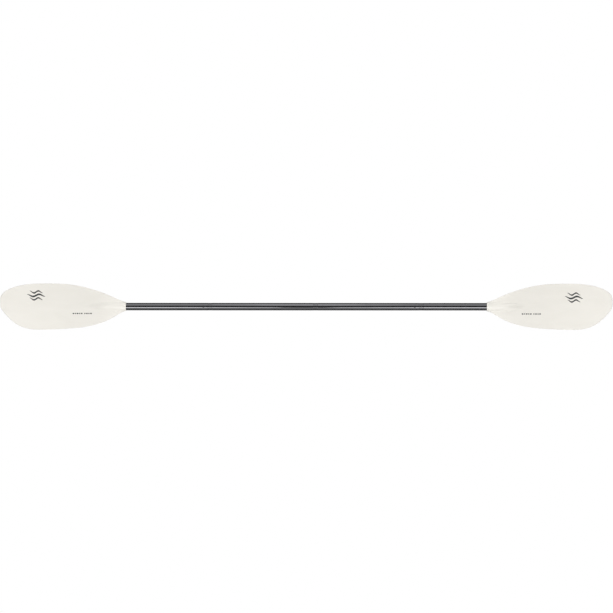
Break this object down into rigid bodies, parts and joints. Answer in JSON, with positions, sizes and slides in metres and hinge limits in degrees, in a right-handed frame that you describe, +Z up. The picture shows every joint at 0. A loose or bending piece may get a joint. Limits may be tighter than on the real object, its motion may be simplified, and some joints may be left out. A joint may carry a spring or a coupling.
{
  "type": "kayak paddle",
  "caption": "Take-apart double-bladed kayak paddle: spooned asymmetric blades on a tube shaft with push-button joints.",
  "frame": {"origin": "under the middle of the assembled paddle, on the surface that it lies on with its power faces up", "axes": "+X along the shaft towards the right blade, +Y across the blades towards their longer edges, +Z up out of the power faces"},
  "size_m": [2.3, 0.1742, 0.0336],
  "materials": {
    "blade_plastic": "satin moulded, glass-fibre filled",
    "shaft_tube": "drawn, black anodised, glossy",
    "ferrule": "ground glass-fibre laminate",
    "collar": "turned, black anodised, satin",
    "button_steel": "blackened spring steel",
    "rivet": "stainless",
    "foam": "closed-cell foam"
  },
  "bodies": {
    "left_centre_section": {"left_centre_shaft": "shaft_tube", "left_ferrule": "ferrule", "left_collar": "collar", "left_ferrule_bung": "foam", "centre_ferrule": "ferrule", "centre_ferrule_bung": "foam"},
    "left_blade_section": {"left_blade": "blade_plastic", "left_blade_shaft": "shaft_tube", "left_blade_plug": "foam", "left_blade_rivet": "rivet", "left_shaft_bung": "foam"},
    "centre_collar": {"centre_collar": "collar"},
    "right_centre_section": {"right_centre_shaft": "shaft_tube", "centre_shaft_bung": "foam", "right_shaft_bung": "foam"},
    "right_blade_section": {"right_blade": "blade_plastic", "right_blade_shaft": "shaft_tube", "right_blade_plug": "foam", "right_blade_rivet": "rivet", "right_ferrule": "ferrule", "right_collar": "collar", "right_ferrule_bung": "foam"},
    "left_button": {"left_snap_button": "button_steel"},
    "centre_button": {"centre_snap_button": "button_steel"},
    "right_button": {"right_snap_button": "button_steel"}
  },
  "joints": [
    {"name": "left_pull", "type": "slide", "parent": "left_centre_section", "child": "left_blade_section", "axis": [-1, 0, 0], "range_m": [0, 0.08]},
    {"name": "centre_feather", "type": "hinge", "parent": "left_centre_section", "child": "centre_collar", "pos_m": [0.035, 0, 0.0172], "axis": [1, 0, 0], "range_deg": [-60, 60]},
    {"name": "centre_pull", "type": "slide", "parent": "centre_collar", "child": "right_centre_section", "axis": [1, 0, 0], "range_m": [0, 0.08]},
    {"name": "right_pull", "type": "slide", "parent": "right_centre_section", "child": "right_blade_section", "axis": [1, 0, 0], "range_m": [0, 0.08]},
    {"name": "left_press", "type": "slide", "parent": "left_centre_section", "child": "left_button", "axis": [0, 0, -1], "range_m": [0, 0.0045], "stiffness_N_per_m": 1500, "springref_m": -0.004, "deforming": ["left_snap_button"]},
    {"name": "centre_press", "type": "slide", "parent": "left_centre_section", "child": "centre_button", "axis": [0, 0, -1], "range_m": [0, 0.0045], "stiffness_N_per_m": 1500, "springref_m": -0.004, "deforming": ["centre_snap_button"]},
    {"name": "right_press", "type": "slide", "parent": "right_blade_section", "child": "right_button", "axis": [0, 0, -1], "range_m": [0, 0.0045], "stiffness_N_per_m": 1500, "springref_m": -0.004, "deforming": ["right_snap_button"]}
  ]
}
